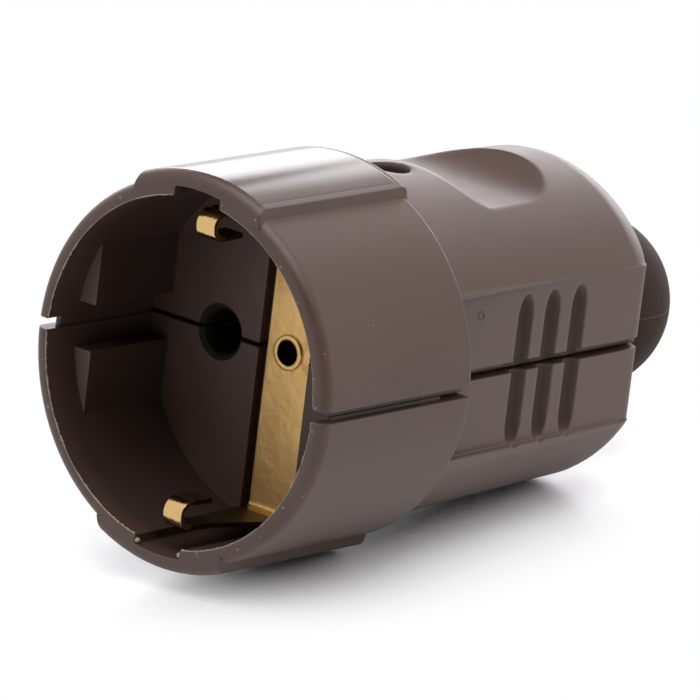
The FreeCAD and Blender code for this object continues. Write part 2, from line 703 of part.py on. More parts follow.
def make_contact(side, x):
    """Make one contact: a slotted sleeve with a terminal block at its rear, and its spring ring."""
    name = f"{side}_contact_sleeve"
    tube = rod_y(side + "_tube", "sleeve_radius", "sleeve_front", "block_front + overrun", x)
    block = rod_y(side + "_block", "block_radius", "block_front", "block_back", x)
    bore_depth = ("sleeve_front - overrun", "sleeve_front + sleeve_bore_depth")
    bore = rod_y(side + "_bore", "sleeve_bore_radius", *bore_depth, x)
    wire_depth = ("block_back - block_wire_depth", "block_back + overrun")
    wire = rod_y(side + "_wire_hole", "block_wire_radius", *wire_depth, x)
    thread = "terminal_thread_radius + thread_play"
    screw = rod_z(side + "_screw_hole", thread, "0", "far", x, "block_screw_y")
    flat = box(
        side + "_block_flat",
        (f"{x} - block_radius", f"{x} + block_radius"),
        ("rib_back + block_flat_setback", "block_back + overrun"),
        ("block_seat", "far"),
    )
    slot_length = ("sleeve_front - overrun", "sleeve_front + sleeve_slot_length")
    half = "sleeve_slot_width / 2"
    wide = (f"{x} - sleeve_radius - overrun", f"{x} + sleeve_radius + overrun")
    slot = box(side + "_slot", wide, slot_length, (f"-({half})", half))
    sleeve_blank = join(side + "_sleeve_blank", tube, block)
    sleeve = cut(name, sleeve_blank, bore, wire, screw, flat, slot)
    ring_front = "floor_back + spring_setback"
    ring_back = f"{ring_front} + spring_length"
    inner = "sleeve_radius + hole_play"
    ring = rod_y(side + "_ring", f"{inner} + spring_thickness", ring_front, ring_back, x)
    through_ring = (f"{ring_front} - overrun", f"{ring_back} + overrun")
    ring_bore = rod_y(side + "_ring_bore", inner, *through_ring, x)
    gap = (f"{x} - spring_gap / 2", f"{x} + spring_gap / 2")
    opening = box(side + "_ring_gap", gap, through_ring, ("0", "far"))
    return [sleeve, cut(f"{side}_contact_spring", ring, ring_bore, opening)]


def make_screws():
    """Make the terminal screws, the housing screw with its nut, and the clamp screws."""
    places = (
        ("left_terminal_screw", "-pin_offset", "block_screw_y", "block_seat"),
        ("right_terminal_screw", "pin_offset", "block_screw_y", "block_seat"),
        ("earth_terminal_screw", "0", "post_screw_y", "post_seat"),
    )
    in_terminals = [slotted_screw(name, "terminal", x, y, seat) for name, x, y, seat in places]
    terminal_screws = group("terminal_screws", in_terminals)
    housing_screw = slotted_screw("housing_screw", "housing", "0", "screw_y", "housing_head_seat")
    nut_foot = "-nut_seat - nut_height"
    nut_blank = primitive(
        "Prism", "nut_blank", ALONG_Z, ("0", "screw_y", nut_foot),
        Circumradius="nut_circumradius", Height="nut_height",
    )
    thread = "housing_thread_radius + thread_play"
    nut_bore = rod_z("nut_bore", thread, f"{nut_foot} - overrun", "-nut_seat + overrun", y="screw_y")
    housing_nut = cut("housing_nut", nut_blank, nut_bore)
    clamp_screws = group("clamp_screws", [
        slotted_screw(f"{side}_clamp_screw", "clamp", x, "clamp_middle", "clamp_top")
        for side, x in (("left", "-clamp_screw_offset"), ("right", "clamp_screw_offset"))
    ])
    return [terminal_screws, housing_screw, housing_nut, clamp_screws]


def make_clamp_bar():
    """Make the cord clamp: a flat bar with an arch over the cord and a screw hole in each foot."""
    along = ("clamp_front", "clamp_back")
    bar_height = ("-clamp_post_drop", "clamp_top")
    bar = box("clamp_flat", ("-clamp_half_span", "clamp_half_span"), along, bar_height)
    arch = rod_y("clamp_arch", "cord_radius + clamp_arch_wall", *along)
    upper = box("clamp_upper", ("-far", "far"), along, ("-clamp_post_drop", "far"))
    blank = overlap("clamp_blank", join("clamp_form", bar, arch), upper)
    trough = rod_y("clamp_trough", "cord_radius", "clamp_front - overrun", "clamp_back + overrun")
    hole = "clamp_thread_radius + clamp_hole_play"
    holes = [
        rod_z(f"{side}_clamp_hole", hole, "-far", "far", x, "clamp_middle")
        for side, x in (("left", "-clamp_screw_offset"), ("right", "clamp_screw_offset"))
    ]
    return cut("cord_clamp_bar", blank, trough, *holes)


def make_gland():
    """Make the cord gland: a flange inside the rear wall, a neck through it and a ball outside."""
    flange = rod_y("gland_flange", "flange_radius", "flange_front", "flange_back")
    neck = rod_y("gland_neck", "gland_neck_radius", "flange_front", "ball_middle")
    middle = ("0", "ball_middle", "0")
    ball = primitive("Sphere", "gland_ball", ALONG_Z, middle, Radius="ball_radius")
    keep = box("gland_keep", ("-far", "far"), ("flange_front", "ball_end"), ("-far", "far"))
    blank = overlap("gland_blank", join("gland_form", flange, neck, ball), keep)
    bore = rod_y("gland_bore", "cord_radius", "flange_front - overrun", "ball_end + overrun")
    return cut("cord_grommet", blank, bore)


def hand_in(pieces):
    """Check every object and piece, then write each piece to its own STEP file."""
    document.recompute()
    for thing in document.Objects:
        if "Invalid" in thing.State or "Error" in thing.State:
            raise RuntimeError(f"{thing.Name} did not compute: {thing.State}")
    os.makedirs("parts", exist_ok=True)
    for piece in pieces:
        shape = piece.Shape
        if shape.isNull() or not shape.isValid():
            raise RuntimeError(f"{piece.Name} is not a valid solid")
        piece.Label = piece.Name
        shape.exportStep(f"parts/{piece.Label}.step")


def main():
    """Build every piece of the connector."""
    pieces = make_shells()
    pieces.append(make_earth_strap())
    pieces.append(make_earth_post())
    for side, x in (("left", "-pin_offset"), ("right", "pin_offset")):
        pieces.extend(make_contact(side, x))
    pieces.extend(make_screws())
    pieces.append(make_clamp_bar())
    pieces.append(make_gland())
    hand_in(pieces)


main()
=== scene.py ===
"""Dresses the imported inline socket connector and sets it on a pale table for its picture.

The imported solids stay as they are. Each sub-assembly is a class that gives its nodes their finishes and adds the small
moulded marks that lie on them. Sizes in the classes are millimetres, as on the drawing, and become metres in a mesh.
"""
import logging
import math
from dataclasses import dataclass
from enum import Enum
from functools import cached_property

import bpy
import numpy as np
from mathutils import Matrix, Vector


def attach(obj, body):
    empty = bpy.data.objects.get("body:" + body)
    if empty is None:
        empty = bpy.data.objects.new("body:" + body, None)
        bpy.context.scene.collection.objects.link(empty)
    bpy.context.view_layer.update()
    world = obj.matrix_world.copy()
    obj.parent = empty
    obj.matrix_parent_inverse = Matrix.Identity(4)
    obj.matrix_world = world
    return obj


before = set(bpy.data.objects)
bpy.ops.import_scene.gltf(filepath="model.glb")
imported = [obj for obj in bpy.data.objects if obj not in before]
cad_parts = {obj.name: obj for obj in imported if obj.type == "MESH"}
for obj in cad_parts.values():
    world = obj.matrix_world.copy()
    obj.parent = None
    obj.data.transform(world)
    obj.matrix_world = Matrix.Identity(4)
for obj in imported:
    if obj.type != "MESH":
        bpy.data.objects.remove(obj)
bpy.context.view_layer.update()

LOG = logging.getLogger("connector")
MM = 0.001
FULL_TURN = 2 * math.pi
EDGE_BAND = (0.985, 0.8)
EDGE_SAMPLES = 6
Tone = tuple[int, int, int]
Way = tuple[float, float, float]
Band = tuple[float, float]
Material = bpy.types.Material
Node = bpy.types.Node
Socket = bpy.types.NodeSocket
Sockets = bpy.types.bpy_prop_collection
Tree = bpy.types.NodeTree
Feed = float | tuple[float, ...] | Socket


class Slot(Enum):
    """A material slot of the record, which no new piece here takes."""

    SHELL = "shell"


class Effect(Enum):
    """Surface effects that several finishes share, each a node group that is built once."""

    GRAIN = "moulded_grain"
    DUST = "dust_specks"
    SCUFF = "fine_scuffs"
    STAIN = "handling_stains"
    DRAWN = "drawn_lines"


def linear(tone: Tone) -> tuple[float, float, float, float]:
    """Turns a screen colour, 0 to 255, into the linear colour with full alpha that shaders use."""
    screen = np.array(tone) / 255.0
    light = np.where(screen <= 0.04045, screen / 12.92, ((screen + 0.055) / 1.055) ** 2.4)
    return (*light.tolist(), 1.0)


# ---- shader building


class Bench:
    """Builds one shader tree: adds nodes, sets their values and links them."""

    def __init__(self, tree: Tree) -> None:
        """Keeps the tree that the nodes go into."""
        self.tree = tree

    def node(self, kind: str, **settings: object) -> Node:
        """Adds a node.

        Args:
            kind: Blender's name for the node, without its ShaderNode prefix.
            settings: attributes of the node itself.
        Returns:
            The new node.
        """
        made = self.tree.nodes.new("ShaderNode" + kind)
        for name, value in settings.items():
            setattr(made, name, value)
        return made

    def feed(self, socket: Socket, value: Feed) -> None:
        """Links an output to the socket, or sets the socket to a plain value."""
        if isinstance(value, Socket):
            self.tree.links.new(value, socket)
        else:
            socket.default_value = value

    def math(self, operation: str, *values: Feed) -> Socket:
        """Adds a sum of one to three plain numbers, by Blender's name for it."""
        made = self.node("Math", operation=operation)
        for socket, value in zip(made.inputs, values):
            self.feed(socket, value)
        return made.outputs[0]

    def vector(self, operation: str, first: Feed, second: Feed, result: str = "Vector") -> Socket:
        """Adds a sum of two vectors, whose result is a Vector or a Value."""
        made = self.node("VectorMath", operation=operation)
        self.feed(made.inputs[0], first)
        self.feed(made.inputs[1], second)
        return made.outputs[result]

    def rise(self, value: Feed, low: Feed, high: Feed) -> Socket:
        """Adds a smooth step from 0 at low to 1 at high, which goes down if high is the lower one."""
        made = self.node("MapRange", interpolation_type="SMOOTHSTEP")
        for name, amount in (("Value", value), ("From Min", low), ("From Max", high)):
            self.feed(made.inputs[name], amount)
        return made.outputs["Result"]

    def product(self, *masks: Feed) -> Feed:
        """Multiplies masks and numbers with each other."""
        result = masks[0]
        for mask in masks[1:]:
            result = self.math("MULTIPLY", result, mask)
        return result

    def within(self, value: Feed, low: float, high: float) -> Feed:
        """Tells whether a number lies between two levels."""
        return self.product(self.math("GREATER_THAN", value, low), self.math("LESS_THAN", value, high))

    def apart(self, value: Feed, level: float) -> Socket:
        """Gives how far a number is from a level, on either side."""
        return self.math("ABSOLUTE", self.math("SUBTRACT", value, level))

    def reach(self, first: Feed, second: Feed) -> Socket:
        """Gives the distance from the origin of a point in a plane."""
        return self.math("SQRT", self.math("MULTIPLY_ADD", first, first, self.math("MULTIPLY", second, second)))

    def noise(self, vector: Feed, detail: float, roughness: float) -> Socket:
        """Adds cloud noise of one unit's size, with as many finer layers as detail, as strong as roughness."""
        made = self.node("TexNoise")
        self.feed(made.inputs["Vector"], vector)
        for name, value in (("Scale", 1.0), ("Detail", detail), ("Roughness", roughness)):
            made.inputs[name].default_value = value
        return made.outputs["Fac"]

    def mix(self, share: Feed, first: Feed, second: Feed) -> Socket:
        """Mixes two colours, of which share is how much of the second shows."""
        made = self.node("Mix", data_type="RGBA")
        for index, value in ((0, share), (6, first), (7, second)):
            self.feed(made.inputs[index], value)
        return made.outputs[2]

    def blend(self, share: Feed, first: Feed, second: Feed) -> Socket:
        """Mixes two numbers, of which share is how much of the second shows."""
        made = self.node("Mix", data_type="FLOAT")
        for index, value in ((0, share), (2, first), (3, second)):
            self.feed(made.inputs[index], value)
        return made.outputs[0]

    def layers(self, colour: Feed, *laid: tuple[Feed, float, Tone]) -> Feed:
        """Lays tones over a colour, each given as its mask, its share where the mask is 1, and the tone."""
        for mask, share, tone in laid:
            colour = self.mix(self.product(mask, share), colour, linear(tone))
        return colour

    @cached_property
    def place(self) -> Socket:
        """The place on the part in millimetres."""
        return self.vector("MULTIPLY", self.node("TexCoord").outputs["Object"], (1 / MM, 1 / MM, 1 / MM))

    @cached_property
    def spot(self) -> tuple[Socket, ...]:
        """The place's three numbers: across, along and up."""
        made = self.node("SeparateXYZ")
        self.feed(made.inputs[0], self.place)
        return tuple(made.outputs)

    def effect(self, effect: Effect, **values: Feed) -> Node:
        """Places a shared effect in this tree, with its inputs by name next to the place on the part."""
        made = self.node("Group", node_tree=EFFECTS[effect])
        for name, value in {"Vector": self.place, **values}.items():
            self.feed(made.inputs[name], value)
        return made

    def edges(self, radius: Feed) -> tuple[Socket, Socket]:
        """Softens sharp edges by a reach in metres: gives the soft normal and a mask that is 1 on the edges."""
        soft = self.node("Bevel", samples=EDGE_SAMPLES)
        self.feed(soft.inputs["Radius"], radius)
        plain = self.node("NewGeometry").outputs["Normal"]
        return soft.outputs[0], self.rise(self.vector("DOT_PRODUCT", soft.outputs[0], plain, "Value"), *EDGE_BAND)

    def bump(self, height: Feed, depth: float, normal: Socket | None = None) -> Socket:
        """Adds a relief, 0 to 1 times depth millimetres high, to a normal, or to the surface's own."""
        made = self.node("Bump")
        made.inputs["Distance"].default_value = depth * MM
        self.feed(made.inputs["Height"], height)
        if normal:
            self.feed(made.inputs["Normal"], normal)
        return made.outputs[0]

    @property
    def shader(self) -> Node:
        """The tree's Principled shader."""
        return self.tree.nodes["Principled BSDF"]

    def give(self, name: str, value: Feed) -> None:
        """Feeds the shader's socket of that name."""
        self.feed(self.shader.inputs[name], value)

    def given(self, name: str) -> Socket:
        """Finds what already feeds the shader's socket of that name."""
        return self.shader.inputs[name].links[0].from_socket

    def lay(self, name: str, share: Feed, above: float | Tone) -> None:
        """Lays a number or a tone, as much as share, over what already feeds a socket of the shader."""
        if isinstance(above, tuple):
            self.give(name, self.mix(share, self.given(name), linear(above)))
        else:
            self.give(name, self.blend(share, self.given(name), above))

    def emboss(self, height: Feed, depth: float) -> None:
        """Adds a relief, depth millimetres high, to what already feeds the shader's normal."""
        self.give("Normal", self.bump(height, depth, self.given("Normal")))

    def seen(self) -> Socket:
        """Tells whether a ray comes from the camera, a reflection or a clear piece."""
        path = self.node("LightPath")
        direct = self.math("MAXIMUM", path.outputs["Is Camera Ray"], path.outputs["Is Glossy Ray"])
        return self.math("MAXIMUM", direct, path.outputs["Is Transmission Ray"])


@dataclass(frozen=True)
class EffectMaker:
    """Builds the shared effects as node groups."""

    mottle_scale: Way = (0.09, 0.05, 0.09)
    tone_scale: Way = (0.22, 0.22, 0.6)
    slow_band: Band = (0.3, 0.7)
    scuff_turn: Way = (0.5, 0.35, 0.9)
    scuff_size: Way = (9.0, 0.14, 0.14)
    scuff_band: Band = (0.775, 0.855)
    stain_peak: float = 0.75
    stain_fall: float = 0.5
    stain_soft: float = 0.16
    speck_core: float = 0.6

    def start(
        self, effect: Effect, inputs: tuple[str, ...], outputs: tuple[str, ...]
    ) -> tuple[Bench, Sockets, Sockets]:
        """Starts a group with its sockets.

        Args:
            effect: which effect it is.
            inputs: the names of the plain inputs, next to Vector.
            outputs: the names of the outputs.
        Returns:
            The bench, what the group is given and what it puts out.
        """
        tree = bpy.data.node_groups.new(effect.value, "ShaderNodeTree")
        tree.interface.new_socket("Vector", in_out="INPUT", socket_type="NodeSocketVector")
        for side, names in (("INPUT", inputs), ("OUTPUT", outputs)):
            for name in names:
                tree.interface.new_socket(name, in_out=side, socket_type="NodeSocketFloat")
        return Bench(tree), tree.nodes.new("NodeGroupInput").outputs, tree.nodes.new("NodeGroupOutput").inputs

    def grain(self) -> Tree:
        """Builds a moulding's fine pitted Height and its slow Mottle of tone."""
        bench, given, out = self.start(Effect.GRAIN, ("Pitch",), ("Height", "Mottle"))
        fine = bench.vector("DIVIDE", given["Vector"], given["Pitch"])
        bench.feed(out["Height"], bench.noise(fine, detail=3.0, roughness=0.6))
        slow = bench.noise(bench.vector("MULTIPLY", given["Vector"], self.mottle_scale), detail=3.0, roughness=0.55)
        bench.feed(out["Mottle"], bench.rise(slow, *self.slow_band))
        return bench.tree

    def dust(self) -> Tree:
        """Builds a Mask of round specks: a share of a random pattern's cells holds one, each of its own size."""
        bench, given, out = self.start(Effect.DUST, ("Spacing", "Size", "Share"), ("Mask",))
        cells = bench.node("TexVoronoi")
        bench.feed(cells.inputs["Vector"], given["Vector"])
        bench.feed(cells.inputs["Scale"], bench.math("DIVIDE", 1.0, given["Spacing"]))
        chance = bench.node("SeparateColor")
        bench.feed(chance.inputs[0], cells.outputs["Color"])
        reach = bench.math("DIVIDE", given["Size"], given["Spacing"])
        reach = bench.product(reach, bench.math("POWER", chance.outputs[1], 2.0))
        speck_and_light_tone = bench.rise(cells.outputs["Distance"], reach, bench.product(reach, self.speck_core))
        holds = bench.math("LESS_THAN", chance.outputs[0], given["Share"])
        bench.feed(out["Mask"], bench.product(speck_and_light_tone, holds))
        return bench.tree

    def scuff(self) -> Tree:
        """Builds a Mask of faint long rub lines: noise drawn out along a slanted line, of which the peaks show."""
        bench, given, out = self.start(Effect.SCUFF, (), ("Mask",))
        turn = bench.node("VectorRotate", rotation_type="EULER_XYZ")
        turn.inputs["Rotation"].default_value = self.scuff_turn
        bench.feed(turn.inputs["Vector"], given["Vector"])
        noise = bench.noise(bench.vector("DIVIDE", turn.outputs[0], self.scuff_size), detail=0.0, roughness=0.5)
        bench.feed(out["Mask"], bench.rise(noise, *self.scuff_band))
        return bench.tree

    def stain(self) -> Tree:
        """Builds a Mask of blots with ragged edges."""
        bench, given, out = self.start(Effect.STAIN, ("Size", "Share"), ("Mask",))
        noise = bench.noise(bench.vector("DIVIDE", given["Vector"], given["Size"]), detail=5.0, roughness=0.65)
        edge = bench.math("SUBTRACT", self.stain_peak, bench.product(given["Share"], self.stain_fall))
        bench.feed(out["Mask"], bench.rise(noise, edge, bench.math("ADD", edge, self.stain_soft)))
        return bench.tree

    def drawn(self) -> Tree:
        """Builds the lines that drawing leaves in metal: Height is noise stretched by Along, Across and Over."""
        sizes = ("Across", "Over", "Along")
        bench, given, out = self.start(Effect.DRAWN, sizes, ("Height", "Tone"))
        parts = bench.node("CombineXYZ")
        for socket, name in zip(parts.inputs, sizes):
            bench.feed(socket, given[name])
        place = bench.vector("DIVIDE", given["Vector"], parts.outputs[0])
        bench.feed(out["Height"], bench.noise(place, detail=2.0, roughness=0.5))
        broad = bench.noise(bench.vector("MULTIPLY", place, self.tone_scale), detail=2.0, roughness=0.5)
        bench.feed(out["Tone"], bench.rise(broad, *self.slow_band))
        return bench.tree

    def all(self) -> dict[Effect, Tree]:
        """Builds every effect."""
        makers = (self.grain, self.dust, self.scuff, self.stain, self.drawn)
        return {effect: make() for effect, make in zip(Effect, makers)}


EFFECTS = EffectMaker().all()


# ---- finishes


@dataclass(frozen=True)
class Finish:
    """A finish and how its material starts."""

    name: str

    def start(self) -> tuple[Material, Bench]:
        """Starts the material, and gives it with its bench."""
        material = bpy.data.materials.new(self.name)
        material.use_nodes = True
        return material, Bench(material.node_tree)

    def age(self, bench: Bench) -> None:
        """Adds what only one kind of finish has, if there is any."""


@dataclass(frozen=True)
class Moulded(Finish):
    """Satin moulded plastic with a fine grain, a slow mottle, dust, rubs, and edges lightened partly by wear and
    partly as a painted highlight.
    """

    dark: Tone
    light: Tone
    speck_and_light_tone: Tone
    roughness: float
    pitch: float = 0.25
    depth: float = 0.004
    dust: float = 0.35
    dust_spacing: float = 1.1
    dust_size: float = 0.2
    dust_share: float = 0.7
    dust_roughness: float = 0.85
    edge: float = 0.3
    shine: float = 0.5
    rub_and_highlight: float = 0.12
    polish: float = 0.03
    dull: float = 0.04

    def cells(self, bench: Bench) -> dict[str, Feed]:
        """Gives the dust's values by name."""
        return {"Spacing": self.dust_spacing, "Size": self.dust_size, "Share": self.dust}

    def softness(self, bench: Bench) -> Feed:
        """Gives how far the edges are softened, in metres."""
        return self.edge * MM

    def spared(self, bench: Bench) -> Feed:
        """Gives the mask of where the edges aren't lightened by wear and painted highlight."""
        return 0.0

    def build(self) -> Material:
        """Builds the material."""
        material, bench = self.start()
        grain = bench.effect(Effect.GRAIN, Pitch=self.pitch)
        dust = bench.effect(Effect.DUST, **self.cells(bench)).outputs[0]
        scuffs = bench.effect(Effect.SCUFF).outputs[0]
        soft, rim = bench.edges(self.softness(bench))
        mottle = grain.outputs["Mottle"]
        colour = bench.layers(
            bench.mix(mottle, linear(self.dark), linear(self.light)),
            (scuffs, self.rub_and_highlight, self.speck_and_light_tone),
            # edges lightened: partly wear, partly a painted highlight
            (bench.product(rim, bench.math("SUBTRACT", 1.0, self.spared(bench))), self.rub_and_highlight, self.speck_and_light_tone),
            (dust, self.dust_share, self.speck_and_light_tone),
        )
        bench.give("Base Color", colour)
        bench.give("Roughness", bench.blend(mottle, self.roughness - self.polish, self.roughness + self.dull))
        bench.lay("Roughness", scuffs, self.roughness + self.rub_and_highlight)
        bench.give("Normal", bench.bump(grain.outputs["Height"], self.depth, soft))
        bench.give("Specular IOR Level", self.shine)
        self.age(bench)
        bench.lay("Roughness", dust, self.dust_roughness)
        return material


@dataclass(frozen=True)
class ShellPlastic(Moulded):
    """The housing's plastic: a bare glossy plate on the top pad, painted shade in the well, its pin holes and the
    grip grooves, and painted light on the guide fronts and the side panels.
    """

    rub_and_highlight: float = 0.1
    dust_spacing: float = 1.0
    dust_size: float = 0.15
    dust_share: float = 0.6
    front_dust: float = 0.5
    front_spacing: float = 0.7
    front_size: float = 0.2
    front_depth: float = 1.2
    plate_half_width: float = 8.0
    plate_front: float = 0.9
    plate_rear: float = 23.6
    plate_height: float = 19.0
    plate_fade: float = 0.15
    plate_roughness: float = 0.17
    line_width: float = 0.16
    line_depth: float = -0.03
    line_share: float = 0.35
    line_tone: Tone = (40, 30, 28)
    body_front: float = 25.0
    body_fade: float = 1.0
    body_edge: float = 0.45
    panel_foot: float = 9.0
    foot_fade: float = 0.6
    foot_edge: float = 0.12
    crown_edge: float = 1.2
    crown_height: float = 12.5
    crown_fade: float = 2.0
    stern_front: float = 57.0
    floor_back: float = 20.7
    well_radius: float = 20.0
    well_front: float = 0.3
    well_edge: float = 0.08
    pin_offset: float = 9.5
    pin_reach: float = 3.3
    pin_fade: float = 0.15
    pin_depth: float = 17.3
    joint_reach: float = 0.42
    # painted shade: the pin holes and the joint line on the well's floor are painted near black
    hole_shade_share: float = 0.9
    hole_shade_tone: Tone = (12, 11, 11)
    shaded_roughness: float = 0.9
    # painted shade: the well's inside, from just behind the rim to the floor, is painted darker
    well_shade_radius: float = 20.9
    well_shade_band: Band = (0.5, 4.0)
    well_shade_share: float = 0.45
    well_shade_tone: Tone = (30, 26, 26)
    # painted light: the guide blocks' fronts are painted lighter, as if lit
    guide_front: float = 4.8
    guide_radius: float = 19.4
    guide_band: Band = (0.08, 0.03)
    guide_light_share: float = 0.17
    panel_front: float = 24.5
    panel_half: float = 17.1
    panel_slope: float = 0.01255
    # painted light: the side panels' face is painted a shade lighter
    panel_light_band: Band = (0.12, 0.04)
    panel_light_share: float = 0.06
    grip_front: float = 36.3
    grip_rear: float = 49.4
    grip_height: float = 9.4
    # painted shade in the grip grooves, darker with their depth
    groove_shade_band: Band = (0.1, 0.8)
    groove_shade_share: float = 0.62
    groove_shade_tone: Tone = (40, 27, 23)
    grip_matt: float = 0.6

    def cells(self, bench: Bench) -> dict[str, Feed]:
        """Gives the dust's values by name: closer and larger specks on the front edge."""
        front = bench.rise(bench.spot[1], self.front_depth, self.front_depth * 0.5)
        return {
            "Spacing": bench.blend(front, self.dust_spacing, self.front_spacing),
            "Size": bench.blend(front, self.dust_size, self.front_size),
            "Share": bench.blend(front, self.dust, self.front_dust),
        }

    def softness(self, bench: Bench) -> Feed:
        """Gives the softening in metres: small in the well and at the panels' foot, large on the crown and stern."""
        _, along, up = bench.spot
        crown = bench.rise(up, self.crown_height, self.crown_height + self.crown_fade)
        stern = bench.rise(along, self.stern_front, self.stern_front + self.crown_fade)
        lower = bench.rise(up, -self.panel_foot, -self.panel_foot - self.foot_fade)
        body = bench.blend(lower, self.body_edge * MM, self.foot_edge * MM)
        body = bench.blend(bench.math("MAXIMUM", crown, stern), body, self.crown_edge * MM)
        collar = bench.blend(self.spared(bench), self.edge * MM, self.well_edge * MM)
        return bench.blend(bench.rise(along, self.body_front, self.body_front + self.body_fade), collar, body)

    def spared(self, bench: Bench) -> Feed:
        """Gives the mask of the well: what lies within its radius of the part's axis, up to the back of its floor."""
        across, along, up = bench.spot
        inside = bench.math("LESS_THAN", bench.reach(across, up), self.well_radius)
        return bench.product(bench.within(along, self.well_front, self.floor_back), inside)

    def plate(self, bench: Bench) -> tuple[Feed, Feed]:
        """Finds the bare plate on the top pad.

        The plate is where the least of the distances to its four sides is above zero, and its border line is where
        that distance is small on either side.

        Args:
            bench: the material's bench.
        Returns:
            The mask of the plate and the mask of its border line.
        """
        across, along, up = bench.spot
        inside = bench.math("SUBTRACT", self.plate_half_width, bench.math("ABSOLUTE", across))
        inside = bench.math("MINIMUM", inside, bench.math("SUBTRACT", along, self.plate_front))
        inside = bench.math("MINIMUM", inside, bench.math("SUBTRACT", self.plate_rear, along))
        top = bench.math("GREATER_THAN", up, self.plate_height)
        line = bench.rise(bench.math("ABSOLUTE", inside), self.line_width, self.line_width * 0.4)
        return bench.product(bench.rise(inside, 0.0, self.plate_fade), top), bench.product(line, top)

    def mouth(self, bench: Bench) -> tuple[Feed, Feed, Feed]:
        """Finds the painted shade in the pin holes and along the joint line, the painted shade on the well's walls
        and the painted light on the fronts of its guides.

        A pin hole is what lies within its reach of a point beside the axis, the painted shade on the walls grows
        behind the rim up to the floor, and the painted light on the guide fronts lies in one plane.

        Args:
            bench: the material's bench.
        Returns:
            The masks of the painted shade in the holes, of the painted shade on the walls and of the painted light on
            the guide fronts.
        """
        across, along, up = bench.spot
        middle = bench.reach(across, up)
        pin = bench.reach(bench.math("SUBTRACT", bench.math("ABSOLUTE", across), self.pin_offset), up)
        joint = bench.rise(bench.math("ABSOLUTE", up), self.joint_reach, self.joint_reach * 0.6)
        holes = bench.math("MAXIMUM", bench.rise(pin, self.pin_reach, self.pin_reach - self.pin_fade), joint)
        # painted shade in the pin holes and along the joint line
        hole_shade = bench.product(bench.math("GREATER_THAN", along, self.pin_depth), holes, self.spared(bench))
        # painted light on the guide fronts
        guide_light = bench.rise(bench.apart(along, self.guide_front), *self.guide_band)
        guide_light = bench.product(guide_light, bench.math("LESS_THAN", middle, self.guide_radius))
        # painted shade on the well's walls
        well_shade = bench.product(
            bench.rise(along, *self.well_shade_band),
            bench.math("LESS_THAN", along, self.pin_depth),
            bench.math("LESS_THAN", middle, self.well_shade_radius),
            bench.math("SUBTRACT", 1.0, guide_light),
        )
        return hole_shade, well_shade, guide_light

    def grips(self, bench: Bench) -> tuple[Feed, Feed]:
        """Finds the painted shade in the grip grooves and the painted light on the face of the side panels.

        The side panel's half width falls evenly towards the rear. The painted shade grows with the depth below it,
        and the lightened face is what lies at no depth.

        Args:
            bench: the material's bench.
        Returns:
            The mask of the painted shade and the mask of the painted light.
        """
        across, along, up = bench.spot
        back = bench.math("SUBTRACT", along, self.panel_front)
        surface = bench.math("MULTIPLY_ADD", back, -self.panel_slope, self.panel_half)
        below = bench.math("SUBTRACT", surface, bench.math("ABSOLUTE", across))
        level = bench.math("LESS_THAN", bench.math("ABSOLUTE", up), self.grip_height)
        run = bench.within(along, self.grip_front, self.grip_rear)
        # painted light on the side panels' face
        panel_light = bench.product(bench.rise(below, *self.panel_light_band), bench.math("GREATER_THAN", back, 0.0))
        # painted shade in the grooves, growing with their depth
        return bench.product(bench.rise(below, *self.groove_shade_band), level, run), panel_light

    def age(self, bench: Bench) -> None:
        """Adds the plate, the painted shade and light of the well, the painted light on the panels and the painted
        shade in the grip grooves.
        """
        plate, line = self.plate(bench)
        hole_shade, well_shade, guide_light = self.mouth(bench)
        groove_shade, panel_light = self.grips(bench)
        colour = bench.layers(
            bench.given("Base Color"),
            (line, self.line_share, self.line_tone),
            # painted shade on the walls, painted light on the guides, painted shade in the holes, painted light on
            # the panels and painted shade in the grooves
            (well_shade, self.well_shade_share, self.well_shade_tone),
            (guide_light, self.guide_light_share, self.speck_and_light_tone),
            (hole_shade, self.hole_shade_share, self.hole_shade_tone),
            (panel_light, self.panel_light_share, self.speck_and_light_tone),
            (groove_shade, self.groove_shade_share, self.groove_shade_tone),
        )
        bench.give("Base Color", colour)
        bench.lay("Roughness", plate, self.plate_roughness)
        matt = bench.math("MAXIMUM", hole_shade, bench.product(groove_shade, self.grip_matt))
        bench.lay("Roughness", matt, self.shaded_roughness)
        bench.emboss(line, self.line_depth)


@dataclass(frozen=True)
class GlandPlastic(Moulded):
    """The cord gland's darker plastic, with the faint line where its mould halves met."""

    seam_height: float = 0.45
    seam_width: float = 0.16
    seam_front: float = 60.0
    seam_depth: float = 0.06
    seam_share: float = 0.12

    def age(self, bench: Bench) -> None:
        """Adds the seam."""
        _, along, up = bench.spot
        seam = bench.rise(bench.apart(up, self.seam_height), self.seam_width, self.seam_width * 0.3)
        seam = bench.product(seam, bench.math("GREATER_THAN", along, self.seam_front))
        bench.emboss(seam, self.seam_depth)
        bench.lay("Base Color", bench.product(seam, self.seam_share), self.speck_and_light_tone)


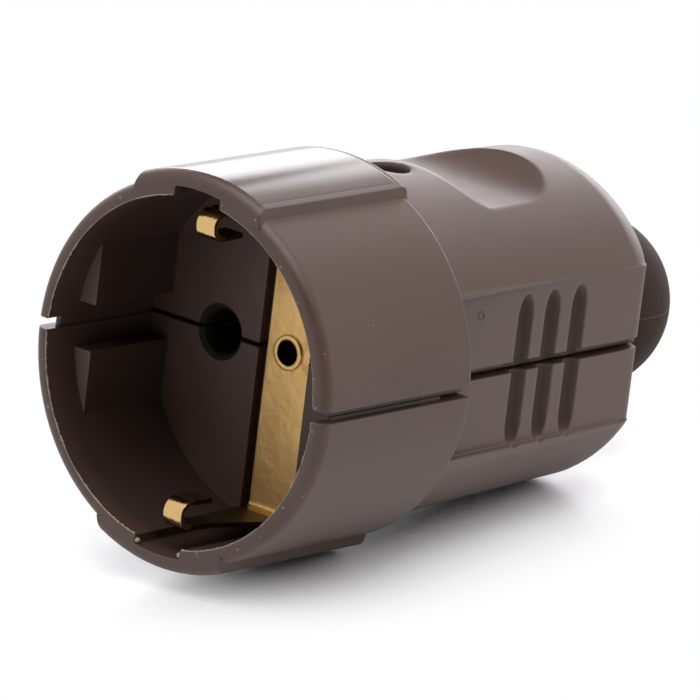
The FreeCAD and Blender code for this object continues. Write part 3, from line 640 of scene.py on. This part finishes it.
@dataclass(frozen=True)
class Metal(Finish):
    """Drawn or plated metal with lines along its run, slow tone, stains, dust and a painted highlight along its
    edges.
    """

    colour: Tone
    shade: Tone
    tarnish: Tone
    roughness: float
    along: float
    across: float
    over: float
    stain: float
    depth: float = 0.002
    edge: float = 0.12
    edge_highlight: float = 0.0
    highlight_tone: Tone = (255, 232, 178)
    stain_size: float = 3.5
    stain_share: float = 0.55
    stain_matt: float = 0.12
    dust: float = 0.25
    dust_spacing: float = 1.6
    dust_size: float = 0.22
    dust_share: float = 0.5
    line_gloss: Band = (-0.03, 0.04)

    def polish(self, bench: Bench) -> Feed:
        """Gives the roughness before lines and stains."""
        return self.roughness

    def build(self) -> Material:
        """Builds the material."""
        material, bench = self.start()
        lines = bench.effect(Effect.DRAWN, Along=self.along, Across=self.across, Over=self.over)
        stain = bench.effect(Effect.STAIN, Size=self.stain_size, Share=self.stain).outputs[0]
        dust = bench.effect(Effect.DUST, Spacing=self.dust_spacing, Size=self.dust_size, Share=self.dust).outputs[0]
        soft, rim = bench.edges(self.edge * MM)
        tone = lines.outputs["Tone"]
        colour = bench.layers(
            bench.mix(tone, linear(self.shade), linear(self.colour)),
            # painted highlight: edges lightened towards a pale brass tone
            (rim, self.edge_highlight, self.highlight_tone),
            (stain, self.stain_share, self.tarnish),
            (dust, self.dust_share, self.tarnish),
        )
        bench.give("Base Color", colour)
        bench.give("Metallic", 1.0)
        rough = bench.math("ADD", self.polish(bench), bench.blend(tone, *self.line_gloss))
        bench.give("Roughness", bench.math("MULTIPLY_ADD", stain, self.stain_matt, rough))
        bench.give("Normal", bench.bump(lines.outputs["Height"], self.depth, soft))
        self.age(bench)
        return material


@dataclass(frozen=True)
class StrapBrass(Metal):
    """The earth strap's brass: satin on its dented face, polished on its curls, and painted dark on the legs behind
    them, a painted shade for the dark well they reflect.
    """

    leg_roughness: float = 0.15
    face_front: float = 17.4
    leg_rear: float = 16.6
    leg_fade: float = 1.0
    curl_tone: Tone = (208, 173, 120)
    curl_share: float = 0.85
    curl_rear: float = 3.3
    curl_fade: float = 0.9
    # painted shade: the legs behind the curls are painted dark, for the dark well they reflect
    leg_shade_tone: Tone = (50, 38, 27)
    leg_shade_share: float = 0.92
    leg_shade_roughness: float = 0.5
    dent_pitch: float = 2.8
    dent_depth: float = 0.125

    def polish(self, bench: Bench) -> Feed:
        """Gives the roughness before lines and stains."""
        face = bench.rise(bench.spot[1], self.face_front, self.face_front + self.leg_fade)
        return bench.blend(face, self.leg_roughness, self.roughness)

    def age(self, bench: Bench) -> None:
        """Adds the curls' tone, the painted shade on the legs behind them and the dents."""
        along = bench.spot[1]
        leg = bench.rise(along, self.leg_rear + self.leg_fade, self.leg_rear)
        behind = bench.rise(along, self.curl_rear, self.curl_rear + self.curl_fade)
        # painted shade on the legs behind the curls
        leg_shade = bench.product(leg, behind, self.leg_shade_share)
        bench.lay("Base Color", bench.product(leg, self.curl_share), self.curl_tone)
        bench.lay("Base Color", leg_shade, self.leg_shade_tone)
        bench.lay("Roughness", leg_shade, self.leg_shade_roughness)
        bench.emboss(bench.effect(Effect.GRAIN, Pitch=self.dent_pitch).outputs["Height"], self.dent_depth)


@dataclass(frozen=True)
class BoreShadedBrass(Metal):
    """Brass painted dark along a band of its run, within a radius of the part's axis: a painted shade inside a bore.
    """

    shade_band: Band = (27.0, 24.0)
    shade_radius: float = 30.0
    hole_shade_share: float = 0.95
    hole_shade_tone: Tone = (20, 18, 17)
    shaded_roughness: float = 0.85

    def age(self, bench: Bench) -> None:
        """Adds the painted shade."""
        across, along, up = bench.spot
        inside = bench.math("LESS_THAN", bench.reach(across, up), self.shade_radius)
        # painted shade inside the bore
        hole_shade = bench.product(bench.rise(along, *self.shade_band), inside)
        bench.lay("Base Color", bench.product(hole_shade, self.hole_shade_share), self.hole_shade_tone)
        bench.lay("Roughness", hole_shade, self.shaded_roughness)


# ---- meshes


def put(name: str, data: bpy.types.ID) -> bpy.types.Object:
    """Makes an object from its data and puts it in the scene."""
    made = bpy.data.objects.new(name, data)
    bpy.context.scene.collection.objects.link(made)
    return made


def clothe(node: str, material: Material) -> None:
    """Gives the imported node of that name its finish."""
    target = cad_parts[node]
    if not target.material_slots:
        target.data.materials.append(material)
    for place in target.material_slots:
        place.material = material
    LOG.info("dressed %s in %s", node, material.name)


def carry(name: str, sections: np.ndarray, loop: bool, material: Material) -> None:
    """Makes a closed piece, riding on the part, from a closed profile that is carried along a path.

    Corner (i, j) is joined to (i + 1, j) along the path and to (i, j + 1) round the profile. A path that doesn't
    close on itself gets a flat face on each end. The sum of the signed corner volumes tells whether the faces point
    outwards, and turns them if they don't.

    Args:
        name: the piece's name.
        sections: profiles by points by 3, in millimetres.
        loop: whether the path closes on itself.
        material: the finish.
    """
    rows, columns = sections.shape[:2]
    grid = np.arange(rows * columns).reshape(rows, columns)
    onward = np.roll(grid, -1, axis=0) if loop else grid[1:]
    here = grid if loop else grid[:-1]
    quads = np.stack([here, np.roll(here, -1, 1), np.roll(onward, -1, 1), onward], axis=-1).reshape(-1, 4)
    points = sections.reshape(-1, 3)
    first, second, third, last = points[quads].swapaxes(0, 1)
    volume = np.einsum("ij,ij->", first, np.cross(second, third) + np.cross(third, last))
    caps = np.zeros((0, columns), dtype=int) if loop else np.stack([grid[0, ::-1], grid[-1]])
    turn = -1 if volume < 0 else 1
    mesh = bpy.data.meshes.new(name)
    mesh.from_pydata((points * MM).tolist(), [], quads[:, ::turn].tolist() + caps[:, ::turn].tolist())
    mesh.polygons.foreach_set("use_smooth", np.ones(len(mesh.polygons), dtype=bool))
    mesh.materials.append(material)
    piece = put(name, mesh)
    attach(piece, "root")
    LOG.info("made %s with %d faces", name, len(mesh.polygons))


def unit(vector: np.ndarray | Way) -> np.ndarray:
    """Gives a vector the length of one."""
    return np.array(vector) / np.linalg.norm(vector)


def ring(count: int) -> np.ndarray:
    """Gives even angles once round, without the last."""
    return np.linspace(0.0, FULL_TURN, count, endpoint=False)


def ragged(count: int, seed: int, reach: int) -> np.ndarray:
    """Makes an uneven line: random numbers averaged over a few neighbours.

    Args:
        count: how many numbers.
        seed: which of the possible lines.
        reach: how many neighbours are averaged.
    Returns:
        Numbers spread over 0 to 1.
    """
    raw = np.random.default_rng(seed).random(count + reach)
    line = np.convolve(raw, np.ones(reach) / reach, mode="valid")[:count]
    return (line - line.min()) / (line.max() - line.min())


# ---- sub-assemblies


@dataclass
class Housing:
    """The two moulded halves, with the trimmed edge of the mouth, its beads and a mould mark."""

    shell: ShellPlastic = ShellPlastic(
        "brown_shell_plastic", (77, 56, 48), (85, 63, 55), (168, 152, 142), roughness=0.42, dust=0.1
    )
    pale: Moulded = Moulded(
        "pale_moulding_flash", (160, 144, 133), (182, 166, 154), (208, 196, 188), roughness=0.5, dust=0.1
    )
    well_radius: float = 19.5
    notch_half_width: float = 3.3
    notch_gap: float = 0.15
    joint_half_gap: float = 0.2
    rim_notch_height: float = 1.1
    joint_gap: float = 0.1
    flash_least: float = 0.08
    flash_most: float = 0.3
    flash_tip: float = 0.01
    flash_rise: float = 0.6
    flash_steps: int = 420
    flash_sides: int = 8
    fine_seed: int = 11
    fine_reach: int = 4
    fine_power: float = 1.6
    broad_seed: int = 31
    broad_reach: int = 40
    bead_radius: float = 0.3
    bead_out: float = 0.65
    bead_lift: float = 1.1
    bead_swell: Band = (0.12, 0.08)
    left_bead_in: float = 0.1
    right_bead_in: float = 0.3
    fleck_across: float = 8.2
    fleck_out: float = 0.05
    fleck_share: float = 0.6
    mark_along: float = 30.0
    mark_height: float = 7.2
    mark_radius: float = 0.48
    mark_wire: float = 0.06

    def build(self) -> None:
        """Dresses both halves and adds the small moulded marks."""
        shell, pale = self.shell.build(), self.pale.build()
        clothe("upper_shell", shell)
        clothe("lower_shell", shell)
        self.flash(pale)
        self.beads(pale)
        self.mould_mark(shell)

    def flash(self, material: Material) -> None:
        """Adds the ragged trimmed edge round the mouth.

        A small ring is carried along each quarter of the well's front edge. At the angle a, the edge is at the well's
        radius times (cos a, sin a), and the ring's radius there is the ragged line between its least and its most.

        Args:
            material: the finish.
        """
        top = math.acos((self.notch_half_width + self.notch_gap) / self.well_radius)
        upper = math.asin((self.rim_notch_height + self.joint_gap) / self.well_radius)
        lower = math.asin((self.joint_half_gap + self.joint_gap) / self.well_radius)
        quarters = {
            "upper_right": (upper, top),
            "upper_left": (math.pi - top, math.pi - upper),
            "lower_left": (math.pi + lower, math.pi + top),
            "lower_right": (FULL_TURN - top, FULL_TURN - lower),
        }
        turn = ring(self.flash_sides)[None, :]
        for seed, (name, (start, stop)) in enumerate(quarters.items()):
            angle = np.linspace(start, stop, self.flash_steps)[:, None]
            fine = ragged(self.flash_steps, self.fine_seed + seed, self.fine_reach)
            spread = fine**self.fine_power * ragged(self.flash_steps, self.broad_seed + seed, self.broad_reach)
            size = (self.flash_least + (self.flash_most - self.flash_least) * spread)[:, None]
            size[[0, -1]] = self.flash_tip
            radius = self.well_radius + size * np.cos(turn)
            along = size * self.flash_rise * (1.0 + np.sin(turn)) + self.flash_tip
            points = np.stack([radius * np.cos(angle), along, radius * np.sin(angle)], axis=-1)
            carry("mouth_flash_" + name, points, False, material)

    def beads(self, material: Material) -> None:
        """Adds the two beads of flash at the corners of the lower notch and a fleck beside it.

        A bead is a ball whose radius swells and shrinks a little with both of its angles.

        Args:
            material: the finish.
        """
        corner = -math.sqrt((self.well_radius + self.bead_out) ** 2 - self.notch_half_width**2)
        fleck = -math.sqrt((self.well_radius + self.fleck_out) ** 2 - self.fleck_across**2)
        spots = {
            "left_notch_bead": (self.left_bead_in - self.notch_half_width, corner, self.bead_radius),
            "right_notch_bead": (self.notch_half_width - self.right_bead_in, corner, self.bead_radius),
            "rim_fleck": (self.fleck_across, fleck, self.bead_radius * self.fleck_share),
        }
        lift = np.linspace(-1.45, 1.45, 14)[:, None]
        turn = ring(18)[None, :]
        waist, crown = self.bead_swell
        swell = 1.0 + waist * np.sin(3 * turn + 1.0) * np.cos(lift) + crown * np.sin(2 * lift)
        for name, (side, height, radius) in spots.items():
            across = side + radius * swell * np.cos(lift) * np.cos(turn)
            along = radius * self.bead_lift + radius * swell * np.sin(lift)
            up = height + radius * swell * np.cos(lift) * np.sin(turn)
            carry(name, np.stack([across, along, up], axis=-1), False, material)

    def mould_mark(self, material: Material) -> None:
        """Adds the small raised ring on the right side panel.

        The ring is a thin torus, half of it above the panel, in the plane of the panel where a ray from the side
        meets it.

        Args:
            material: the finish.
        """
        start = Vector((50.0, self.mark_along, self.mark_height)) * MM
        found, spot, normal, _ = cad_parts["upper_shell"].ray_cast(start, Vector((-1.0, 0.0, 0.0)))
        if not found:
            LOG.warning("no panel under the mould mark")
            return
        middle, out = np.array(spot) / MM, np.array(normal)
        along = unit(np.cross(out, (0.0, 0.0, 1.0)))
        up = np.cross(along, out)
        turn, roll = ring(40)[:, None, None], ring(10)[None, :, None]
        away = np.cos(turn) * along + np.sin(turn) * up
        wire = self.mark_wire * np.cos(roll)
        points = middle + away * (self.mark_radius + wire) + out * self.mark_wire * np.sin(roll)
        carry("panel_mould_mark", points, True, material)


@dataclass
class EarthClip:
    """The brass earth strap with its curled ends, and the post that holds it."""

    strap: StrapBrass = StrapBrass(
        "drawn_strap_brass", (242, 199, 134), (232, 189, 122), (206, 164, 104),
        roughness=0.46, along=14.0, across=0.9, over=0.9, stain=0.5, depth=0.0005, edge_highlight=0.8,
    )
    # painted shade: the post's bore is painted dark
    post: BoreShadedBrass = BoreShadedBrass(
        "turned_post_brass", (222, 184, 122), (206, 166, 106), (130, 98, 60),
        roughness=0.24, along=0.2, across=0.2, over=0.2, stain=0.3, edge=0.3, edge_highlight=0.5,
        shade_band=(18.25, 18.4), shade_radius=1.47, hole_shade_share=1.0, hole_shade_tone=(26, 22, 18), shaded_roughness=0.8,
    )

    def build(self) -> None:
        """Dresses the strap and the post."""
        clothe("earth_strap", self.strap.build())
        clothe("earth_post", self.post.build())


@dataclass
class ContactSet:
    """The two pin sleeves with their spring rings."""

    # painted shade: the sleeves' front ends inside the pin holes are painted dark
    brass: BoreShadedBrass = BoreShadedBrass(
        "plated_contact_brass", (176, 160, 128), (158, 142, 112), (98, 84, 64),
        roughness=0.34, along=0.15, across=0.15, over=8.0, stain=0.3,
    )
    spring: Metal = Metal(
        "blued_spring_steel", (66, 67, 72), (54, 55, 60), (44, 42, 42),
        roughness=0.38, along=0.2, across=0.2, over=6.0, stain=0.25,
    )

    def build(self) -> None:
        """Dresses the sleeves and the springs."""
        brass, spring = self.brass.build(), self.spring.build()
        for side in ("left", "right"):
            clothe(f"{side}_contact_sleeve", brass)
            clothe(f"{side}_contact_spring", spring)


@dataclass
class Fasteners:
    """The plated screws and the nut."""

    steel: Metal = Metal(
        "plated_screw_steel", (196, 196, 190), (172, 172, 168), (112, 106, 96),
        roughness=0.3, along=3.0, across=0.25, over=0.25, stain=0.3,
    )

    def build(self) -> None:
        """Dresses the screws and the nut."""
        steel = self.steel.build()
        for node in ("terminal_screws", "housing_screw", "housing_nut", "clamp_screws"):
            clothe(node, steel)


@dataclass
class CordGrip:
    """The clamp bar inside and the gland that the cord passes through."""

    bar: Moulded = Moulded("dark_clamp_plastic", (52, 46, 44), (62, 55, 52), (140, 130, 124), roughness=0.48)
    gland: GlandPlastic = GlandPlastic(
        "dark_gland_plastic", (50, 37, 33), (57, 43, 38), (140, 128, 120), roughness=0.7, dust=0.05, shine=0.18
    )

    def build(self) -> None:
        """Dresses the clamp bar and the gland."""
        clothe("cord_clamp_bar", self.bar.build())
        clothe("cord_grommet", self.gland.build())


# ---- studio


@dataclass(frozen=True)
class Stand:
    """What stands off from the part: the direction to it, its distance and its size in millimetres."""

    name: str
    way: Way
    distance: float
    size: Band


@dataclass(frozen=True)
class Lamp(Stand):
    """A soft lamp that faces the part. A level of 1 is as bright as white."""

    level: float
    diffuse: bool = True
    glossy: bool = True
    tint: Way = (1.0, 1.0, 1.0)

    def build(self, middle: Way) -> None:
        """Adds the lamp, its distance away from the middle and out of the camera's sight."""
        data = bpy.data.lights.new(self.name, "AREA")
        data.shape = "RECTANGLE"
        data.size, data.size_y = self.size[0] * MM, self.size[1] * MM
        data.energy = self.level * math.pi * data.size * data.size_y
        data.color = self.tint
        lamp = put(self.name, data)
        toward = Vector(self.way).normalized()
        lamp.location = (Vector(middle) + toward * self.distance) * MM
        lamp.rotation_euler = toward.to_track_quat("Z", "Y").to_euler()
        lamp.visible_camera = False
        lamp.visible_diffuse = self.diffuse
        lamp.visible_glossy = self.glossy
        LOG.info("made %s", self.name)


@dataclass(frozen=True)
class Card(Stand):
    """A dark card that keeps light off the part from one side."""

    def build(self, middle: Way) -> None:
        """Adds the card, out of the camera's sight: a grid of two by two corners across the direction to it."""
        toward = unit(self.way)
        level = unit(np.cross((0.0, 0.0, 1.0), toward))
        over = np.cross(toward, level)
        side, height = np.meshgrid((-0.5, 0.5), (-0.5, 0.5))
        points = np.array(middle) + toward * self.distance
        points = points + side[..., None] * self.size[0] * level + height[..., None] * self.size[1] * over
        mesh = bpy.data.meshes.new(self.name)
        mesh.from_pydata((points.reshape(-1, 3) * MM).tolist(), [], [(0, 1, 3, 2)])
        dark = Moulded(self.name, (20, 20, 20), (24, 24, 24), (40, 40, 40), roughness=0.9, shine=0.0)
        mesh.materials.append(dark.build())
        card = put(self.name, mesh)
        card.visible_camera = False
        LOG.info("made %s", self.name)


@dataclass
class Studio:
    """The pale table, the soft lamps, the dark cards, the white surround and the camera."""

    lamps: tuple[Lamp, ...] = (
        Lamp("overhead_lamp", (0.05, -0.2, 1.0), 850.0, (900.0, 900.0), 2.4),
        Lamp("rear_panel_lamp", (-0.62, 0.76, 0.33), 900.0, (1300.0, 460.0), 3.2, False, tint=(0.97, 0.955, 1.0)),
        Lamp("right_fill_lamp", (1.0, 0.65, 0.85), 900.0, (900.0, 600.0), 2.1, glossy=False),
        Lamp("front_lamp", (-0.15, -1.0, 0.4), 900.0, (600.0, 600.0), 1.1, glossy=False),
    )
    cards: tuple[Card, ...] = (
        Card("front_card", (0.8, -0.6, 0.2), 600.0, (1300.0, 900.0)),
        Card("upper_card", (-0.6, 0.42, 0.69), 700.0, (460.0, 460.0)),
    )
    up: Way = (-0.09, -0.0943, 0.9915)
    middle: Way = (0.0, 36.0, 0.0)
    fill: float = 0.3
    table_radius: float = 3000.0
    table_rings: int = 24
    table_sides: int = 64
    table_dark: Tone = (240, 240, 243)
    table_light: Tone = (250, 250, 252)
    table_gloss: Band = (0.26, 0.34)
    table_pitch: float = 0.5
    table_depth: float = 0.008
    shade_front: float = 18.0
    shade_rear: float = 60.0
    shade_start: float = 5.0
    shade_end: float = 34.0
    azimuth: float = 39.177
    elevation: float = 14.802
    roll: float = 6.914
    distance: float = 801.165
    target: Way = (7.286, 20.0, 2.038)
    focal_px: float = 7315.0
    image_px: float = 700.0
    sensor: float = 36.0

    def build(self) -> None:
        """Sets up everything round the part."""
        self.table()
        self.surround()
        for thing in (*self.lamps, *self.cards):
            thing.build(self.middle)
        self.camera()
        bpy.context.scene.view_settings.view_transform = "Standard"

    def table(self) -> None:
        """Adds the table top: rings of points round the part, in the plane that just touches it from below."""
        up = unit(self.up)
        across = unit(np.cross((0.0, 1.0, 0.0), up))
        along = np.cross(up, across)
        lowest = np.inf
        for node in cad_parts.values():
            flat = np.empty(len(node.data.vertices) * 3)
            node.data.vertices.foreach_get("co", flat)
            lowest = min(lowest, (flat.reshape(-1, 3) @ up).min() / MM)
        middle = np.array(self.middle)
        foot = middle + up * (lowest - middle @ up)
        turn = ring(self.table_sides)[None, :, None]
        reach = np.geomspace(1.0, self.table_radius, self.table_rings)[:, None, None]
        points = (foot + reach * (np.cos(turn) * across + np.sin(turn) * along)).reshape(-1, 3)
        grid = np.arange(self.table_rings * self.table_sides).reshape(self.table_rings, self.table_sides)
        quads = np.stack([grid[:-1], grid[1:], np.roll(grid[1:], -1, 1), np.roll(grid[:-1], -1, 1)], axis=-1)
        mesh = bpy.data.meshes.new("table_top")
        mesh.from_pydata((points * MM).tolist(), [], quads.reshape(-1, 4).tolist() + [grid[0].tolist()])
        mesh.materials.append(self.table_finish())
        table = put("table_top", mesh)
        LOG.info("made table_top at %.2f mm below the origin", -lowest)

    def table_finish(self) -> Material:
        """Builds the white table: lit and shadowed under the part, and plain white where it is seen away from it.

        The distance away is taken, in plan, from the nearest point of the line under the part's body.

        Returns:
            The material.
        """
        material, bench = Finish("white_table").start()
        across, along, _ = bench.spot
        nearest = bench.math("MINIMUM", bench.math("MAXIMUM", along, self.shade_front), self.shade_rear)
        away = bench.reach(across, bench.math("SUBTRACT", along, nearest))
        grain = bench.effect(Effect.GRAIN, Pitch=self.table_pitch)
        height = grain.outputs["Height"]
        bench.give("Base Color", bench.mix(height, linear(self.table_dark), linear(self.table_light)))
        bench.give("Roughness", bench.blend(grain.outputs["Mottle"], *self.table_gloss))
        bench.give("Normal", bench.bump(height, self.table_depth))
        both = bench.node("MixShader")
        bench.feed(both.inputs[0], bench.product(bench.rise(away, self.shade_start, self.shade_end), bench.seen()))
        bench.feed(both.inputs[1], bench.shader.outputs[0])
        bench.feed(both.inputs[2], bench.node("Emission").outputs[0])
        bench.feed(material.node_tree.nodes["Material Output"].inputs["Surface"], both.outputs[0])
        return material

    def surround(self) -> None:
        """Sets the world: white where it is seen or reflected, a plain soft fill otherwise."""
        world = bpy.data.worlds.new("white_surround")
        bpy.context.scene.world = world
        world.use_nodes = True
        bench = Bench(world.node_tree)
        ground = world.node_tree.nodes["Background"]
        ground.inputs["Color"].default_value = (1.0, 1.0, 1.0, 1.0)
        bench.feed(ground.inputs["Strength"], bench.blend(bench.seen(), self.fill, 1.0))

    def camera(self) -> None:
        """Adds the camera, turned about its own line of sight as the photograph is."""
        azimuth, elevation, roll = (math.radians(value) for value in (self.azimuth, self.elevation, self.roll))
        flat = math.cos(elevation)
        forward = Vector((-math.sin(azimuth) * flat, math.cos(azimuth) * flat, -math.sin(elevation)))
        level = Vector((math.cos(azimuth), math.sin(azimuth), 0.0))
        above = level.cross(forward)
        right = level * math.cos(roll) + above * math.sin(roll)
        over = above * math.cos(roll) - level * math.sin(roll)
        data = bpy.data.cameras.new("camera")
        data.sensor_fit = "HORIZONTAL"
        data.sensor_width = self.sensor
        data.lens = self.focal_px * self.sensor / self.image_px
        data.clip_start = 0.01
        camera = put("camera", data)
        place = (Vector(self.target) - forward * self.distance) * MM
        turned = Matrix((right, over, -forward)).transposed().to_4x4()
        camera.matrix_world = Matrix.Translation(place) @ turned
        bpy.context.scene.camera = camera


def main() -> None:
    """Builds the studio and the sub-assemblies."""
    logging.basicConfig(level=logging.INFO, format="%(name)s: %(message)s")
    Studio().build()
    for assembly in (Housing(), EarthClip(), ContactSet(), Fasteners(), CordGrip()):
        LOG.info("building %s", type(assembly).__name__)
        assembly.build()
    bpy.context.view_layer.update()


if __name__ == "__main__":
    main()
